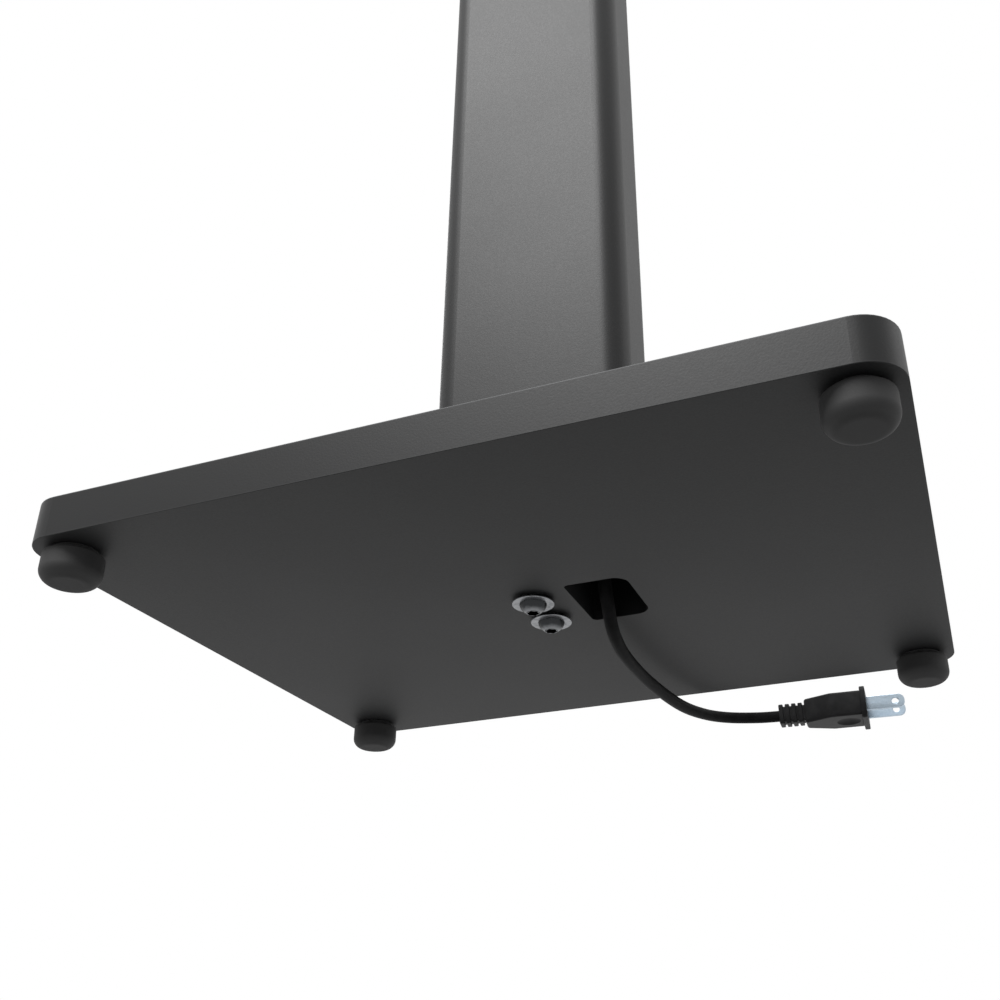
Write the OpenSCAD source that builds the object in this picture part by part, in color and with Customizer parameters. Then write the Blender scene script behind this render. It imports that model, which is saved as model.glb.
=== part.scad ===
// Floor stand for a compact speaker.
// A steel base plate on four rubber feet carries an extruded aluminium column, and the column carries
// a top plate with a rubber pad. The lead runs down a channel inside the column, leaves through an
// opening in the base plate and lies on the floor behind the stand with its plug.
// The origin is on the floor below the middle of the base plate, Z is up and the front faces -Y.
// All lengths are in millimetres.

/* [Base plate] */
// Width of the base plate
base_w = 290; // [240:1:420]
// Depth of the base plate
base_d = 237; // [180:1:340]
// Thickness of the base plate
base_t = 15.2; // [12:0.1:22]
// Radius of the four upright corners
base_corner_r = 13; // [6:0.5:26]
// Radius of the edges round the two faces
base_edge_r = 0.2; // [0.1:0.1:1]

/* [Feet] */
// Diameter of a rubber foot
foot_d = 20.8; // [18:0.1:28]
// Height of a foot, from the floor to the base plate
foot_h = 12.2; // [10:0.1:18]
// Radius round the lower edge of a foot
foot_edge_r = 4.6; // [2:0.1:5]
// Radius round the upper rim of a foot
foot_rim_r = 1; // [0.4:0.1:1.6]
// Diameter of the neck that meets the base plate
foot_neck_d = 16; // [14:0.1:17]
// Height of that neck
foot_neck_h = 1.5; // [0.6:0.1:2.5]
// Distance of a foot's middle from the two plate edges
foot_inset = 13.6; // [11:0.1:30]
// Thread diameter of the stud that is moulded into a foot
stud_d = 5; // [4:0.5:6]
// Length of the stud inside the base plate
stud_grip = 9; // [6:0.5:10]
// Diameter of the stud's flat head inside the rubber
stud_head_d = 12; // [9:0.5:14]
// Thickness of that head
stud_head_t = 1.6; // [1:0.1:2]
// Height of that head above the floor
stud_head_z = 5.2; // [4:0.1:6]

/* [Column] */
// Width of the column
column_w = 85; // [76:0.5:120]
// Depth of the column
column_d = 40.4; // [38:0.2:70]
// Length of the column
column_l = 775; // [400:5:1100]
// Radius of the column's outer corners
column_r = 10.5; // [6:0.5:16]
// Thickness of the column's wall
column_wall = 2.5; // [2:0.1:3]
// Thickness of the web beside the cable channel
web_t = 2.5; // [1.5:0.1:3]
// Radius in the corners between the webs and the wall
fillet_r = 1.2; // [0.5:0.1:2]
// Distance between the two screws at each end of the column
screw_pitch = 19; // [17:0.5:21]
// Outer diameter of a screw port
port_d = 11; // [10:0.5:12]
// Thickness of the rib that joins a port to the wall
port_rib_t = 4; // [3:0.5:6]

/* [Cable opening] */
// Width of the opening in the base plate and in the top plate
opening_w = 23.7; // [22:0.1:25]
// Step from the channel's sides in to the opening's sides
opening_lip = 1.5; // [0.5:0.1:2]
// Step from the channel's front and back in to the opening
opening_end_lip = 0.2; // [0.1:0.1:1]
// Corner radius of the opening beside the screws
opening_r_in = 2; // [1:0.5:4]
// Corner radius of the opening at the outer side
opening_r_out = 5.8; // [3:0.2:7]

/* [Screws and washers] */
// Thread diameter of the screws
screw_d = 6; // [5:0.5:6]
// Length of a base screw under its head
base_screw_l = 30; // [26:1:40]
// Diameter of a round head
head_d = 10.5; // [10:0.1:11]
// Height of a round head, down to its flat end
head_h = 3.4; // [2.8:0.1:3.6]
// Diameter of the flat end round the socket
head_end_d = 5; // [4.8:0.1:6]
// Width across the flats of the hexagon sockets
socket_af = 4; // [3:0.5:4]
// Depth of the hexagon sockets
socket_depth = 2.2; // [1.5:0.1:2.3]
// Outer diameter of a washer
washer_d = 16; // [13:0.5:16.5]
// Thickness of a washer, its collar included
washer_t = 1.9; // [1.4:0.1:2.5]
// Thickness of a washer's rim
washer_rim_t = 0.7; // [0.5:0.1:1]
// Diameter of the collar that keeps the rim clear of the base plate
washer_collar_d = 11; // [10:0.5:12]
// Length of a top screw, its sunk head included
top_screw_l = 20; // [16:1:30]
// Diameter of a sunk head
sunk_d = 12; // [10:0.1:12.5]

/* [Top plate and pad] */
// Width of the top plate
top_w = 150; // [120:1:220]
// Depth of the top plate
top_d = 122; // [90:1:180]
// Thickness of the top plate
top_t = 6; // [5:0.1:10]
// Radius of the top plate's upright corners
top_corner_r = 13; // [8:0.5:20]
// Thickness of the rubber pad
pad_t = 2; // [1:0.1:3]
// Distance from the edge of the top plate in to the pad
pad_inset = 4; // [2:0.5:8]

/* [Grommet and connector] */
// Width of the grommet's rim on the top plate
grommet_rim = 2.5; // [1.5:0.1:4]
// Diameter of each half of the connector's nose
nose_d = 8.2; // [7:0.1:9]
// Distance between the middles of the two halves
nose_pitch = 5; // [4:0.1:6]
// Depth of the nose's face below the pad's face
nose_recess = 0.5; // [0.2:0.1:1]
// Diameter of the two contact holes
contact_d = 2.4; // [1.5:0.1:2.6]
// Distance between the two contact holes
contact_pitch = 7.2; // [6.6:0.1:7.4]
// Depth of the contact holes
contact_depth = 6; // [3:0.5:7]
// Length of the connector's grip across
grip_l = 17; // [15:0.5:20]
// Width of the connector's grip across
grip_w = 12; // [10:0.5:14]
// Height of the connector's grip
grip_h = 18; // [12:0.5:24]
// Radius of the grip's upright corners
grip_r = 3; // [1:0.5:4]
// Length of the connector's tapered cord sleeve
sleeve_l = 20; // [16:0.5:30]
// Diameter of that sleeve at the grip
sleeve_d = 9; // [8:0.5:9.5]
// Diameter of that sleeve at the cord
sleeve_tip_d = 6.6; // [6:0.2:7.4]

/* [Cord and plug] */
// Diameter of the round cord
cord_d = 5.2; // [5:0.1:5.4]
// Length of the plug's body, from the ribbed sleeve to the rim
plug_l = 26.7; // [24:0.1:32]
// Width of the plug's body at the rim
plug_w = 20.6; // [19:0.1:24]
// Width of the plug's body at the ribbed sleeve
plug_tail_w = 10; // [9.8:0.1:13]
// Length of the part that widens
plug_taper_l = 12.3; // [9:0.1:14]
// Thickness of the plug's body
plug_t = 11.6; // [10.8:0.1:13]
// Radius of the body's edges
plug_edge_r = 1.2; // [0.6:0.1:2]
// Turn of the plug away from the stand's width
plug_turn = 3; // [-5:0.5:8]
// Amount that the rim stands out round the body
rim_out = 1.7; // [1:0.1:1.7]
// Thickness of the rim
rim_t = 1.8; // [1:0.1:2.5]
// Diameter of the finger dimples
dimple_d = 11; // [8:0.1:11.4]
// Depth of the finger dimples
dimple_depth = 0.9; // [0.3:0.1:1]
// Number of ribs on the sleeve
rib_count = 4; // [3:1:6]
// Distance from one rib to the next
rib_pitch = 3; // [2.6:0.1:4]
// Thickness of a rib
rib_t = 2; // [1.4:0.1:2.2]
// Height of a rib
rib_h = 9.5; // [8.6:0.1:10]
// Width of a rib
rib_w = 8.4; // [8:0.1:9.4]
// Depth of the grooves between the ribs
rib_depth = 1; // [0.5:0.1:1.2]
// Width of a blade
blade_w = 6.35; // [6:0.05:6.8]
// Thickness of a blade
blade_t = 1.5; // [1.3:0.05:1.6]
// Length of a blade in front of the rim
blade_l = 17; // [15.9:0.1:18.2]
// Radius of the two round corners at a blade's tip
blade_tip_r = 2.9; // [1:0.1:2.9]
// Distance between the middles of the two blades
blade_pitch = 12.7; // [12:0.1:13.4]
// Diameter of the hole in a blade
blade_hole_d = 3.1; // [2.5:0.1:3.5]
// Distance of that hole from the tip
blade_hole_x = 4.2; // [3.6:0.1:6]
// Length of a blade inside the plug
blade_root = 9; // [6:0.5:12]

/* [Hidden] */
// Points that the free cord's middle follows, from the foot of the column to the plug
cord_route = [
    [24, 3, 27.4], [24, 3.3, 24.3], [24, 4.9, 18.9], [23.9, 7.5, 14.4], [23.4, 11.2, 10.4],
    [22.8, 15.7, 7.4], [22.3, 20.4, 5.6], [21.9, 25.5, 4.4], [21.6, 31, 3.5], [21.5, 37.5, 2.9],
    [21.4, 45, 2.6], [21.4, 54, 2.6], [21.6, 63, 2.6], [22.2, 72, 2.6], [23, 81, 2.6], [24, 89.6, 2.6],
    [25.1, 97.8, 2.7], [26.5, 105.8, 2.9], [28.3, 113.6, 3.3], [30.6, 121.2, 3.9], [33.5, 128.6, 4.6],
    [37.3, 135.5, 5.4], [42.2, 141.6, 6.2], [48.1, 146.5, 6.9], [55, 149.9, 7.3], [62.5, 151.5, 7.5]
];
cord_end = cord_route[len(cord_route) - 1];
cord_sides = 12;
// A direction that the cord never takes, from which its rings are turned
cord_ref = [1, -1, 0];

overrun = 1;
thread_clear = 0.1;
hole_clear = 0.6;
pad_clear = 0.3;
$fn = 96;

base_top_z = foot_h + base_t;
column_top_z = base_top_z + column_l;
top_face_z = column_top_z + top_t;
rest_z = top_face_z + pad_t;

foot_body_h = foot_h - foot_neck_h;
screw_hole_d = screw_d + hole_clear;
port_bore_d = screw_d + thread_clear;
stud_bore_d = stud_d + thread_clear;
top_edge_r = base_edge_r;

channel_out_x = column_w / 2 - column_wall;
opening_out_x = channel_out_x - opening_lip;
opening_in_x = opening_out_x - opening_w;
opening_x = (opening_out_x + opening_in_x) / 2;
opening_d = column_d - 2 * (column_wall + opening_end_lip);
web_x = opening_in_x - opening_lip - web_t;

nose_l = top_t + pad_t - nose_recess;
run_top_z = column_top_z - grip_h - sleeve_l;
run_bottom = cord_route[0];
// Share of the column's length over which the cord inside it stays straight at each end
run_straight_share = 0.04;

// The plug lies on the lower edge of its rim
plug_z = plug_t / 2 + rim_out;
ribbed_l = rib_count * rib_pitch;
taper_angle = atan((plug_w - plug_tail_w) / (2 * plug_taper_l));

// Rectangle with four equal round corners
module round_rect(w, d, r) {
    square([w - 2 * r, d], center = true);
    square([w, d - 2 * r], center = true);
    for (sx = [-1, 1], sy = [-1, 1])
        translate([sx * (w / 2 - r), sy * (d / 2 - r)]) circle(r = r);
}

// Solid of revolution with rounded lower and upper edges
module soft_disc(r, t, edge) {
    rotate_extrude() {
        square([r - edge, t]);
        translate([0, edge]) square([r, t - 2 * edge]);
        translate([r - edge, edge]) circle(r = edge);
        translate([r - edge, t - edge]) circle(r = edge);
    }
}

// Flat plate with round upright corners and softly rounded edges, its lower face at zero
module soft_plate(w, d, t, r, edge) {
    translate([0, 0, t / 2]) {
        rotate([90, 0, 90]) linear_extrude(w - 2 * r, center = true) round_rect(d, t, edge);
        rotate([90, 0, 0]) linear_extrude(d - 2 * r, center = true) round_rect(w, t, edge);
    }
    for (sx = [-1, 1], sy = [-1, 1])
        translate([sx * (w / 2 - r), sy * (d / 2 - r), 0]) soft_disc(r, t, edge);
}

// Outline of the cable opening, grown by a margin on every side
module opening_outline(margin = 0) {
    in_x = opening_in_x - margin;
    out_x = opening_out_x + margin;
    half_d = opening_d / 2 + margin;
    r_in = opening_r_in + margin;
    r_out = opening_r_out + margin;
    translate([in_x + r_in, -half_d]) square([out_x - in_x - r_in - r_out, 2 * half_d]);
    translate([in_x, r_in - half_d]) square([r_in, 2 * (half_d - r_in)]);
    translate([out_x - r_out, r_out - half_d]) square([r_out, 2 * (half_d - r_out)]);
    for (sy = [-1, 1]) {
        translate([in_x + r_in, sy * (half_d - r_in)]) circle(r = r_in);
        translate([out_x - r_out, sy * (half_d - r_out)]) circle(r = r_out);
    }
}

// Hexagon socket, sunk from zero downwards
module socket(depth) {
    translate([0, 0, -depth])
        cylinder(h = depth + overrun, d = socket_af / cos(30), $fn = 6);
}

module at_screws(side) {
    translate([0, side * screw_pitch / 2, 0]) children();
}

module at_foot(side_x, side_y) {
    translate([side_x * (base_w / 2 - foot_inset), side_y * (base_d / 2 - foot_inset), 0]) children();
}

module base_plate() {
    color("#3b3c3e")
    difference() {
        translate([0, 0, foot_h]) soft_plate(base_w, base_d, base_t, base_corner_r, base_edge_r);
        translate([0, 0, foot_h - overrun]) linear_extrude(base_t + 2 * overrun) opening_outline();
        for (side = [-1, 1])
            at_screws(side) translate([0, 0, foot_h - overrun])
                cylinder(h = base_t + 2 * overrun, d = screw_hole_d);
        for (sx = [-1, 1], sy = [-1, 1])
            at_foot(sx, sy) translate([0, 0, foot_h - overrun])
                cylinder(h = stud_grip + thread_clear + overrun, d = stud_bore_d);
    }
}

// Stud with a flat head, as it stands in a foot
module stud_shape() {
    translate([0, 0, stud_head_z]) {
        cylinder(h = stud_head_t, d = stud_head_d);
        cylinder(h = foot_h - stud_head_z + stud_grip, d = stud_d);
    }
}

module stud(side_x, side_y) {
    color("#9a9ca0") at_foot(side_x, side_y) stud_shape();
}

module foot(side_x, side_y) {
    color("#26272a")
    at_foot(side_x, side_y)
    difference() {
        rotate_extrude() {
            square([foot_d / 2 - foot_edge_r, foot_body_h]);
            translate([0, foot_edge_r]) square([foot_d / 2, foot_body_h - foot_edge_r - foot_rim_r]);
            translate([foot_d / 2 - foot_edge_r, foot_edge_r]) circle(r = foot_edge_r);
            translate([0, foot_edge_r]) square([foot_d / 2 - foot_rim_r, foot_body_h - foot_edge_r]);
            translate([foot_d / 2 - foot_rim_r, foot_body_h - foot_rim_r]) circle(r = foot_rim_r);
            translate([0, foot_edge_r]) square([foot_neck_d / 2, foot_h - foot_edge_r]);
        }
        stud_shape();
    }
}

module column() {
    color("#4c4d50")
    translate([0, 0, base_top_z]) linear_extrude(column_l) column_section();
}

// Section of the extrusion: the wall, the web beside the cable channel and the two screw ports
module column_section() {
    half_in = column_d / 2 - column_wall;
    difference() {
        round_rect(column_w, column_d, column_r);
        round_rect(column_w - 2 * column_wall, column_d - 2 * column_wall, column_r - column_wall);
    }
    translate([web_x, -half_in - column_wall / 2]) square([web_t, 2 * half_in + column_wall]);
    for (side = [-1, 1]) {
        for (face = [-1, 1])
            translate([web_x + web_t / 2 + face * web_t / 2, side * half_in])
                mirror([face < 0 ? 1 : 0, 0]) mirror([0, side > 0 ? 1 : 0]) corner_fillet();
        difference() {
            union() {
                translate([0, side * screw_pitch / 2]) circle(d = port_d);
                translate([-port_rib_t / 2, side > 0 ? screw_pitch / 2 : -half_in - column_wall / 2])
                    square([port_rib_t, half_in + column_wall / 2 - screw_pitch / 2]);
            }
            translate([0, side * screw_pitch / 2]) circle(d = port_bore_d);
        }
    }
}

// Material that rounds an inner corner at zero, in the quarter of +X and +Y
module corner_fillet() {
    difference() {
        translate([-fillet_r / 2, -fillet_r / 2]) square(1.5 * fillet_r);
        translate([fillet_r, fillet_r]) circle(r = fillet_r);
    }
}

// Washer with a collar on its upper side
module washer(side) {
    color("#a7a9ac")
    at_screws(side) translate([0, 0, foot_h - washer_t])
    difference() {
        union() {
            cylinder(h = washer_rim_t, d = washer_d);
            cylinder(h = washer_t, d = washer_collar_d);
        }
        translate([0, 0, -overrun]) cylinder(h = washer_t + 2 * overrun, d = screw_hole_d);
    }
}

// Screw with a round head that hangs below the washer and ends in a flat with a socket
module base_screw(side) {
    // The middle of the head's ball lies this far above the washer's lower face
    ball_z = (pow(head_d / 2, 2) - pow(head_end_d / 2, 2) - pow(head_h, 2)) / (2 * head_h);
    color("#8e9093")
    at_screws(side) translate([0, 0, foot_h - washer_t])
    difference() {
        union() {
            cylinder(h = base_screw_l, d = screw_d);
            intersection() {
                translate([0, 0, ball_z]) sphere(r = norm([head_d / 2, ball_z]));
                translate([0, 0, -head_h]) cylinder(h = head_h, d = head_d + overrun);
            }
        }
        translate([0, 0, -head_h]) mirror([0, 0, 1]) socket(socket_depth);
    }
}

module top_plate() {
    color("#3b3c3e")
    difference() {
        translate([0, 0, column_top_z]) soft_plate(top_w, top_d, top_t, top_corner_r, top_edge_r);
        translate([0, 0, column_top_z - overrun]) linear_extrude(top_t + 2 * overrun) opening_outline();
        for (side = [-1, 1]) at_screws(side) {
            translate([0, 0, column_top_z - overrun]) cylinder(h = top_t + 2 * overrun, d = screw_hole_d);
            sunk_cone();
        }
    }
}

// Cone of a sunk head, its wide end level with the top plate's upper face
module sunk_cone() {
    cone_h = (sunk_d - screw_d) / 2;
    translate([0, 0, top_face_z - cone_h]) cylinder(h = cone_h, d1 = screw_d, d2 = sunk_d);
}

module top_screw(side) {
    color("#8e9093")
    at_screws(side)
    difference() {
        union() {
            sunk_cone();
            translate([0, 0, top_face_z - top_screw_l]) cylinder(h = top_screw_l, d = screw_d);
        }
        translate([0, 0, top_face_z]) socket(socket_depth);
    }
}

module top_pad() {
    color("#232427")
    translate([0, 0, top_face_z]) linear_extrude(pad_t)
    difference() {
        round_rect(top_w - 2 * pad_inset, top_d - 2 * pad_inset, top_corner_r - pad_inset);
        opening_outline(grommet_rim + pad_clear);
    }
}

// Outline of the connector's nose, like the figure eight
module nose_outline() {
    for (side = [-1, 1]) translate([opening_x, side * nose_pitch / 2]) circle(d = nose_d);
}

module grommet() {
    color("#1d1e20")
    difference() {
        union() {
            translate([0, 0, column_top_z]) linear_extrude(top_t) opening_outline();
            translate([0, 0, top_face_z]) linear_extrude(pad_t) opening_outline(grommet_rim);
        }
        translate([0, 0, column_top_z - overrun])
            linear_extrude(top_t + pad_t + 2 * overrun) nose_outline();
    }
}

module connector() {
    color("#1a1b1d")
    difference() {
        union() {
            translate([opening_x, 0, column_top_z - grip_h])
                linear_extrude(grip_h) round_rect(grip_w, grip_l, grip_r);
            translate([0, 0, column_top_z]) linear_extrude(nose_l) nose_outline();
            translate([opening_x, 0, run_top_z])
                cylinder(h = sleeve_l, d1 = sleeve_tip_d, d2 = sleeve_d);
        }
        for (side = [-1, 1])
            translate([opening_x, side * contact_pitch / 2, column_top_z + nose_l - contact_depth])
                cylinder(h = contact_depth + overrun, d = contact_d);
    }
}

// Unit vector along a vector
function unit(v) = v / norm(v);

// Direction of a route at one of its points, square to the cord's end faces at both ends
function heading(path, i, first, last) =
    i == 0 ? first
    : i == len(path) - 1 ? last
    : unit(unit(path[i + 1] - path[i]) + unit(path[i] - path[i - 1]));

// Ring of points round one point of a route
function ring(p, dir) =
    let (side = unit(cross(dir, cord_ref)), up = cross(dir, side))
    [for (k = [0 : cord_sides - 1])
        p + cord_d / 2 * (cos(360 * k / cord_sides) * side + sin(360 * k / cord_sides) * up)];

// Round cord swept along a route, closed at both ends
module swept_cord(path, first, last) {
    rings = len(path);
    points = [for (i = [0 : rings - 1]) each ring(path[i], heading(path, i, first, last))];
    walls = [for (i = [0 : rings - 2], k = [0 : cord_sides - 1])
        let (a = i * cord_sides + k, b = i * cord_sides + (k + 1) % cord_sides)
        each [[a, b, b + cord_sides], [a, b + cord_sides, a + cord_sides]]];
    start = [for (k = [cord_sides - 1 : -1 : 0]) k];
    finish = [for (k = [0 : cord_sides - 1]) (rings - 1) * cord_sides + k];
    polyhedron(points = points, faces = concat([start], walls, [finish]), convexity = 4);
}

// Stretch of cord inside the column, from the connector's sleeve down to the column's foot
module cord_run() {
    low = [run_bottom[0], run_bottom[1], base_top_z];
    high = [opening_x, 0, run_top_z];
    rise = run_straight_share * column_l;
    color("#232427")
    swept_cord([low, low + [0, 0, rise], high - [0, 0, rise], high], [0, 0, 1], [0, 0, 1]);
}

module cord_free() {
    color("#232427")
    swept_cord(cord_route, [0, 0, -1], [cos(plug_turn), sin(plug_turn), 0]);
}

// Places a plug piece: zero is the end of the cord, and the blades point along +X
module at_plug() {
    translate([cord_end[0], cord_end[1], plug_z]) rotate([0, 0, plug_turn]) children();
}

module plug() {
    color("#232427")
    at_plug()
    difference() {
        union() {
            plug_sleeve();
            translate([ribbed_l, 0, 0]) plug_body();
        }
        for (side = [-1, 1]) {
            translate([ribbed_l + (plug_taper_l + plug_l) / 2, 0, side * dimple_z()])
                sphere(r = dimple_r());
            blade_shape(side, root_only = true);
        }
    }
}

// Radius of the ball that cuts a finger dimple, and the height of its middle
function dimple_r() = (pow(dimple_d / 2, 2) + pow(dimple_depth, 2)) / (2 * dimple_depth);
function dimple_z() = plug_t / 2 - dimple_depth + dimple_r();

// Body that widens from the sleeve to full width and ends in a flat rim
module plug_body() {
    intersection() {
        rotate([90, 0, 90]) linear_extrude(plug_l) round_rect(plug_w, plug_t, plug_edge_r);
        tapered_side();
        mirror([0, 1, 0]) tapered_side();
    }
    translate([plug_l - plug_edge_r, 0, 0]) rotate([90, 0, 90])
        linear_extrude(plug_edge_r) round_rect(plug_w, plug_t, plug_edge_r);
    translate([plug_l, 0, 0]) rotate([90, 0, 90])
        linear_extrude(rim_t) round_rect(plug_w + 2 * rim_out, plug_t + 2 * rim_out, plug_edge_r + rim_out);
}

// Long bar with round edges, whose +Y face slants out from the tail's width to the body's
module tapered_side() {
    translate([0, plug_tail_w / 2, 0]) rotate([0, 0, taper_angle]) translate([-plug_w, -plug_w, 0])
        rotate([90, 0, 90]) linear_extrude(plug_w + 2 * plug_l) round_rect(2 * plug_w, plug_t, plug_edge_r);
}

// Ribbed sleeve between the cord and the body
module plug_sleeve() {
    rotate([90, 0, 90]) {
        linear_extrude(ribbed_l + plug_edge_r)
            round_rect(rib_w - 2 * rib_depth, rib_h - 2 * rib_depth, plug_edge_r);
        for (i = [0 : rib_count - 1])
            translate([0, 0, i * rib_pitch]) linear_extrude(rib_t) round_rect(rib_w, rib_h, plug_edge_r);
    }
}

// Flat blade with two round tip corners, or only its root inside the body
module blade_shape(side, root_only = false) {
    face_x = ribbed_l + plug_l + rim_t;
    full_l = root_only ? blade_root + overrun : blade_root + blade_l;
    translate([face_x - blade_root, side * blade_pitch / 2, 0]) rotate([90, 0, 0])
    linear_extrude(blade_t, center = true)
    difference() {
        union() {
            translate([0, -blade_w / 2]) square([full_l - blade_tip_r, blade_w]);
            translate([0, blade_tip_r - blade_w / 2]) square([full_l, blade_w - 2 * blade_tip_r]);
            for (sy = [-1, 1])
                translate([full_l - blade_tip_r, sy * (blade_w / 2 - blade_tip_r)]) circle(r = blade_tip_r);
            if (root_only) translate([0, -blade_w / 2]) square([full_l, blade_w]);
        }
        if (!root_only) translate([full_l - blade_hole_x, 0]) circle(d = blade_hole_d);
    }
}

module blade(side) {
    color("#b9c3cc") at_plug() blade_shape(side);
}

base_plate();
foot(-1, -1);  // foot_front_left
foot(1, -1);  // foot_front_right
foot(-1, 1);  // foot_rear_left
foot(1, 1);  // foot_rear_right
stud(-1, -1);  // stud_front_left
stud(1, -1);  // stud_front_right
stud(-1, 1);  // stud_rear_left
stud(1, 1);  // stud_rear_right
column();
base_screw(-1);  // base_screw_front
base_screw(1);  // base_screw_rear
washer(-1);  // washer_front
washer(1);  // washer_rear
top_plate();
top_screw(-1);  // top_screw_front
top_screw(1);  // top_screw_rear
top_pad();
grommet();
connector();
cord_run();
cord_free();
plug();
blade(-1);  // blade_front
blade(1);  // blade_rear
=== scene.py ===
import math

import bmesh
import bpy
from mathutils import Matrix, Vector


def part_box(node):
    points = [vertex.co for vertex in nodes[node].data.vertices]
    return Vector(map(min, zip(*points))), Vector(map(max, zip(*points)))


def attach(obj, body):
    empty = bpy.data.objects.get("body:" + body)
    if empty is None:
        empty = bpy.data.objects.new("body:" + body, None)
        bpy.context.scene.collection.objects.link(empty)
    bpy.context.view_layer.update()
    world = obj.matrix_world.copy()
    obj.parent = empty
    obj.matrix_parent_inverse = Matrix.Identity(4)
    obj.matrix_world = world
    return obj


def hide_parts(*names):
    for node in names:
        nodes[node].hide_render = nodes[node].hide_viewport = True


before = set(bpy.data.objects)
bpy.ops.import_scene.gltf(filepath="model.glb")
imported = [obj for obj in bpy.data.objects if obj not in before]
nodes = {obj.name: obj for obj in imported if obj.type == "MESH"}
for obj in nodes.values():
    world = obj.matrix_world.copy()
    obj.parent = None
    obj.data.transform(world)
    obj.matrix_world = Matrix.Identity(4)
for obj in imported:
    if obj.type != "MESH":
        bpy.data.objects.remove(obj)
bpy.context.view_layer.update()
print("frame loaded:", len(nodes), "nodes")

# Camera, looking up at the base plate from below and in front

view = {
    "place": (0.142616, -0.361822, -0.155356),
    "turn": 0.3733,  # to the left of straight back, in radians
    "lift": 0.4658,  # above the horizon
    "lean": -0.001,
    "sensor": 36.0,
    "focal": 1.09962,  # focal length, as a share of the picture's width
    "centre": (0.5446, 0.5446),  # where the lens axis meets the picture, from its upper left corner
    "nearest": 0.01,  # what lies closer to the lens isn't shown
}


def addCamera():
    turn, lift, lean = view["turn"], view["lift"], view["lean"]
    ahead = Vector((-math.sin(turn), math.cos(turn), 0))
    beside = Vector((math.cos(turn), math.sin(turn), 0))
    upright = Vector((0, 0, 1))
    forward = ahead * math.cos(lift) + upright * math.sin(lift)
    above = upright * math.cos(lift) - ahead * math.sin(lift)
    right = beside * math.cos(lean) + above * math.sin(lean)
    top = above * math.cos(lean) - beside * math.sin(lean)
    facing = Matrix((right, top, -forward)).transposed()
    bpy.ops.object.camera_add()
    camera = bpy.context.object
    camera.matrix_world = Matrix.Translation(view["place"]) @ facing.to_4x4()
    camera.data.sensor_width = view["sensor"]
    camera.data.lens = view["sensor"] * view["focal"]
    camera.data.shift_x = 0.5 - view["centre"][0]
    camera.data.shift_y = view["centre"][1] - 0.5
    camera.data.clip_start = view["nearest"]
    bpy.context.scene.camera = camera


addCamera()
print("camera set")

# Shader maths: a Wire is the output of a node, and sums on it add Math nodes


class Wire:
    def __init__(self, shader, socket):
        self.shader = shader
        self.socket = socket

    def __add__(self, other):
        return self.shader.maths("ADD", self, other)

    def __radd__(self, other):
        return self.shader.maths("ADD", other, self)

    def __sub__(self, other):
        return self.shader.maths("SUBTRACT", self, other)

    def __rsub__(self, other):
        return self.shader.maths("SUBTRACT", other, self)

    def __mul__(self, other):
        return self.shader.maths("MULTIPLY", self, other)

    def __pow__(self, other):
        return self.shader.maths("POWER", self, other)

    def __abs__(self):
        return self.shader.maths("ABSOLUTE", self)


class Shader:
    def __init__(self, name, world=None):
        self.holder = bpy.data.materials.new(name) if world is None else world
        self.holder.use_nodes = True
        self.tree = self.holder.node_tree
        self.tree.nodes.clear()

    # One node of any type: its settings first, then the values or links of its sockets
    def node(self, kind, settings=None, inputs=None, output=0):
        made = self.tree.nodes.new("ShaderNode" + kind)
        for key, value in (settings or {}).items():
            setattr(made, key, value)
        for key, value in (inputs or {}).items():
            self.connect(made.inputs[key], value)
        return Wire(self, made.outputs[output]) if len(made.outputs) else made

    def connect(self, socket, value):
        if isinstance(value, Wire):
            self.tree.links.new(value.socket, socket)
        elif socket.type == "RGBA":
            socket.default_value = (*value[:3], 1)
        else:
            socket.default_value = value

    def maths(self, operation, first, second=0.0):
        return self.node("Math", {"operation": operation}, {0: first, 1: second})

    # A smooth step from 0 to 1 as the value goes from low to high
    def step(self, value, low, high):
        limits = {"Value": value, "From Min": low, "From Max": high}
        return self.node("MapRange", {"interpolation_type": "SMOOTHSTEP"}, limits)

    # A colour between two; the Mix node's colours are its inputs 6 and 7 and its output 2
    def mix(self, amount, first, second):
        return self.node("Mix", {"data_type": "RGBA"}, {0: amount, 6: first, 7: second}, 2)

    def place(self, scale=(1, 1, 1), move=(0, 0, 0)):
        here = self.node("TexCoord", output="Object")
        return self.node("Mapping", None, {"Vector": here, "Location": move, "Scale": scale})

    def coordinate(self, where, axis):
        return self.node("SeparateXYZ", None, {0: where}, axis)

    # Distance from an upright line
    def reach(self, x=0.0, y=0.0):
        flat = self.place(scale=(1, 1, 0), move=(-x, -y, 0))
        return self.node("VectorMath", {"operation": "LENGTH"}, {0: flat}, "Value")

    def noise(self, where, scale, detail=2.0, roughness=0.5):
        settings = {"Vector": where, "Scale": scale, "Detail": detail, "Roughness": roughness}
        return self.node("TexNoise", None, settings)

    # A value that goes up and down with noises, each given with its amount
    def waver(self, value, *noises):
        for noise, amount in noises:
            value = value + (noise - 0.5) * amount
        return value

    def bump(self, height, strength, distance, below=None):
        inputs = {"Height": height, "Strength": strength, "Distance": distance}
        if below is not None:
            inputs["Normal"] = below
        return self.node("Bump", None, inputs)

    def finish(self, **inputs):
        names = {key.replace("_", " "): value for key, value in inputs.items()}
        surface = self.node("BsdfPrincipled", None, names)
        self.node("OutputMaterial", None, {"Surface": surface})
        return self.holder


def tinted(colour, share):
    return [share * part for part in colour]


# Powder coat: dark grey paint with a fine grain, and a painted highlight along the plates' edges

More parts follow.
